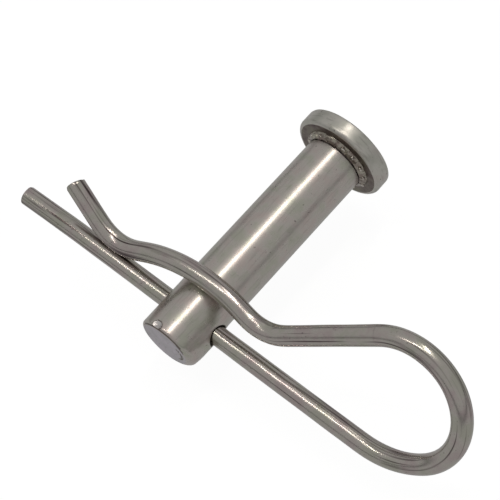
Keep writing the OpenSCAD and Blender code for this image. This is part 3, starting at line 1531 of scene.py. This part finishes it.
@dataclass(frozen=True)
class Studio:
    """The plain pale floor, the long soft lamps over it and the even grey room round it."""

    space: PinSpace
    floor_size: float = 6.0
    floor_glow: float = 0.93
    floor_drop: float = 5.8
    lamps: tuple[Tube, ...] = (
        Tube("tube_over_pin", (-330.0, -75.0, 600.0), (-30.0, -5.0, 600.0), 16.0, 0.5),
        Tube("tube_over_leg", (10.0, -55.0, 600.0), (250.0, -365.0, 600.0), 15.0, 0.36),
    )
    aim: tuple[float, float, float] = (25.0, 5.0, 0.0)
    room_level: float = 0.47
    dark_share: float = 0.22
    lamp_colour: str = "#fff9f2"

    def _floor(self) -> bpy.types.Object:
        """Lays the floor a given drop under the model's lowest point at rest, a drop meant to clear the clip when
        it is pulled out.

        Returns:
            The floor.
        """
        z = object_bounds()[0].z - self.floor_drop * MM
        half = self.floor_size / 2
        mesh = bpy.data.meshes.new("floor")
        corners = [(-half, -half, z), (half, -half, z), (half, half, z), (-half, half, z)]
        mesh.from_pydata(corners, [], [(0, 1, 2, 3)])
        material = bpy.data.materials.new("matt_white_card")
        material.use_nodes = True
        tree = material.node_tree
        tree.nodes.clear()
        glow = add_node(
            tree, "ShaderNodeEmission", inputs={"Color": linear("#ffffff"), "Strength": self.floor_glow}
        )
        card = add_node(tree, "ShaderNodeBsdfDiffuse", inputs={"Color": linear("#666666")})
        both = add_node(tree, "ShaderNodeAddShader", inputs={0: glow.outputs[0], 1: card.outputs[0]})
        add_node(tree, "ShaderNodeOutputMaterial", inputs={"Surface": both.outputs[0]})
        mesh.materials.append(material)
        floor = as_object("floor", mesh)
        floor.visible_glossy = False
        floor.visible_diffuse = False
        floor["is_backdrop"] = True
        return floor

    def _lamp(self, tube: Tube) -> bpy.types.Object:
        """Hangs one lamp, facing the object.

        Args:
            tube: The lamp's ends, width and power.

        Returns:
            The lamp.
        """
        start, end = self.space.point(*tube.start), self.space.point(*tube.end)
        middle = (start + end) / 2
        across = (end - start).normalized()
        away = middle - self.space.point(*self.aim)
        away = (away - across * away.dot(across)).normalized()
        data = bpy.data.lights.new(tube.name, "AREA")
        data.shape = "RECTANGLE"
        data.size = (end - start).length
        data.size_y = tube.width * MM
        data.energy = tube.power
        data.color = linear(self.lamp_colour)[:3]
        lamp = bpy.data.objects.new(tube.name, data)
        bpy.context.scene.collection.objects.link(lamp)
        turn = Matrix((across, away.cross(across), away)).transposed().to_4x4()
        lamp.matrix_world = Matrix.Translation(middle) @ turn
        return lamp

    def _room(self) -> None:
        """Makes the even grey room, with a dark band low round it and a white view past the floor's edge."""
        world = bpy.data.worlds.new("grey_room")
        world.use_nodes = True
        bpy.context.scene.world = world
        tree = world.node_tree
        tree.nodes.clear()
        where = add_node(tree, "ShaderNodeTexCoord")
        parts = add_node(tree, "ShaderNodeSeparateXYZ", inputs={0: where.outputs["Generated"]})
        height = add_node(
            tree,
            "ShaderNodeMapRange",
            inputs={"Value": parts.outputs["Z"], "From Min": -1.0, "From Max": 1.0, "To Min": 0.0, "To Max": 1.0},
        )
        bands = add_node(tree, "ShaderNodeValToRGB", inputs={"Fac": height.outputs["Result"]})
        level = self.room_level
        set_ramp(
            bands,
            [
                (0.0, grey(level * 0.95)),
                (0.5, grey(level)),
                (0.535, grey(level * self.dark_share)),
                (0.56, grey(level * self.dark_share)),
                (0.59, grey(level)),
                (1.0, grey(level)),
            ],
        )
        around = add_node(tree, "ShaderNodeBackground", inputs={"Color": bands.outputs["Color"], "Strength": 1.0})
        seen = add_node(tree, "ShaderNodeBackground", inputs={"Color": linear("#fafafa"), "Strength": 1.0})
        ray = add_node(tree, "ShaderNodeLightPath")
        both = add_node(
            tree,
            "ShaderNodeMixShader",
            inputs={0: ray.outputs["Is Camera Ray"], 1: around.outputs[0], 2: seen.outputs[0]},
        )
        add_node(tree, "ShaderNodeOutputWorld", inputs={"Surface": both.outputs[0]})

    def build(self) -> None:
        """Builds the studio and sets how its light is shown."""
        self._floor()
        for tube in self.lamps:
            self._lamp(tube)
        self._room()
        bpy.context.scene.view_settings.view_transform = "Standard"
        bpy.context.scene.view_settings.look = "None"


@dataclass(frozen=True)
class Viewpoint:
    """The camera: where it stands in pin space and how it is turned."""

    space: PinSpace
    position: tuple[float, float, float] = (94.600, 91.985, 216.492)
    right: tuple[float, float, float] = (-0.6472814, 0.75532995, -0.1024864)
    back: tuple[float, float, float] = (0.2983422, 0.37476912, 0.8778041)
    lens: float = 114.35
    sensor: float = 36.0

    def build(self) -> bpy.types.Object:
        """Sets the camera up.

        Returns:
            The camera.
        """
        data = bpy.data.cameras.new("camera")
        data.sensor_width = self.sensor
        data.lens = self.lens
        data.clip_start = 0.01
        data.clip_end = 20.0
        camera = bpy.data.objects.new("camera", data)
        bpy.context.scene.collection.objects.link(camera)
        right = self.space.direction(*self.right)
        back = self.space.direction(*self.back)
        up = back.cross(right).normalized()
        turn = Matrix((right, up, back)).transposed().to_4x4()
        camera.matrix_world = Matrix.Translation(self.space.point(*self.position)) @ turn
        bpy.context.scene.camera = camera
        return camera


def report(pieces: Sequence[bpy.types.Object]) -> None:
    """Logs each piece's name and how many faces it has."""
    for piece in pieces:
        LOG.info("%s: %d faces", piece.name, len(piece.data.polygons))


def main() -> None:
    """Builds the pin, its weld, the clip, the studio and the camera."""
    logging.basicConfig(level=logging.INFO, format="%(name)s %(message)s")
    space = PinSpace.from_record(frame["record"])
    Viewpoint(space).build()
    Studio(space).build()
    report([Shank(space).build(), Head(space).build()])
    report(WeldBead(space).build())
    report(SpringClip(space).build())


if __name__ == "__main__":
    main()
